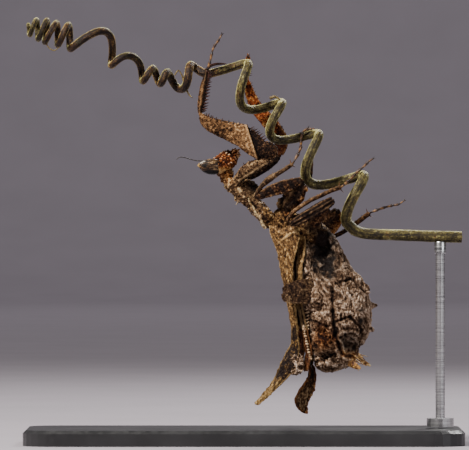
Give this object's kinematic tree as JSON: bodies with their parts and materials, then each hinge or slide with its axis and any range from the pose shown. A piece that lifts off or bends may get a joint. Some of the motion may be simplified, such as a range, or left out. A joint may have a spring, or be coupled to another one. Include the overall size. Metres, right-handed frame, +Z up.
{
  "type": "leaf mantis display model",
  "caption": "Life-size still model of a leaf mantis hanging belly up from a corkscrew tendril, on a flat base with a rod.",
  "frame": {"origin": "middle of the underside of the stand's base, on the floor", "axes": "+Z up; +X along the tendril towards its cut stem end, so the mantis's head points to -X; -Y is the side seen in the picture, the mantis's right side"},
  "size_m": [0.0838, 0.034, 0.0814],
  "materials": {
    "dry_leaf_brown": "matt mottled brown, like a dry leaf",
    "inner_leg_orange": "satin orange brown with dark bands",
    "eye_grey": "glossy grey brown with fine streaks",
    "tendril_green": "dry yellow green stem with red brown patches",
    "stand_black": "satin black",
    "rod_steel": "brushed"
  },
  "bodies": {
    "root": {"perch_stem": "tendril_green", "perch_middle": "tendril_green", "perch_bridge": "tendril_green", "perch_coil": "tendril_green", "head": "dry_leaf_brown", "eye_left": "eye_grey", "eye_right": "eye_grey", "antenna_left": "dry_leaf_brown", "antenna_right": "dry_leaf_brown", "prothorax": "dry_leaf_brown", "thorax": "dry_leaf_brown", "abdomen": "dry_leaf_brown", "cercus_left": "inner_leg_orange", "cercus_right": "inner_leg_orange", "foreleg_right_coxa": "dry_leaf_brown", "foreleg_right_femur": "dry_leaf_brown", "foreleg_right_tibia": "dry_leaf_brown", "foreleg_right_tarsus": "inner_leg_orange", "foreleg_left_coxa": "inner_leg_orange", "foreleg_left_femur": "inner_leg_orange", "foreleg_left_tibia": "inner_leg_orange", "foreleg_left_tarsus": "inner_leg_orange", "midleg_right_coxa": "dry_leaf_brown", "midleg_right_femur": "dry_leaf_brown", "midleg_right_tibia": "dry_leaf_brown", "midleg_right_tarsus": "inner_leg_orange", "midleg_left_coxa": "dry_leaf_brown", "midleg_left_femur": "dry_leaf_brown", "midleg_left_tibia": "dry_leaf_brown", "midleg_left_tarsus": "inner_leg_orange", "hindleg_right_coxa": "dry_leaf_brown", "hindleg_right_femur": "dry_leaf_brown", "hindleg_right_tibia": "dry_leaf_brown", "hindleg_right_tarsus": "inner_leg_orange", "hindleg_left_coxa": "dry_leaf_brown", "hindleg_left_femur": "dry_leaf_brown", "hindleg_left_tibia": "dry_leaf_brown", "hindleg_left_tarsus": "inner_leg_orange", "forewing_right": "dry_leaf_brown", "forewing_left": "dry_leaf_brown", "hindwing_right": "inner_leg_orange", "hindwing_left": "inner_leg_orange", "stand_base": "stand_black", "stand_rod": "rod_steel"}
  },
  "joints": []
}
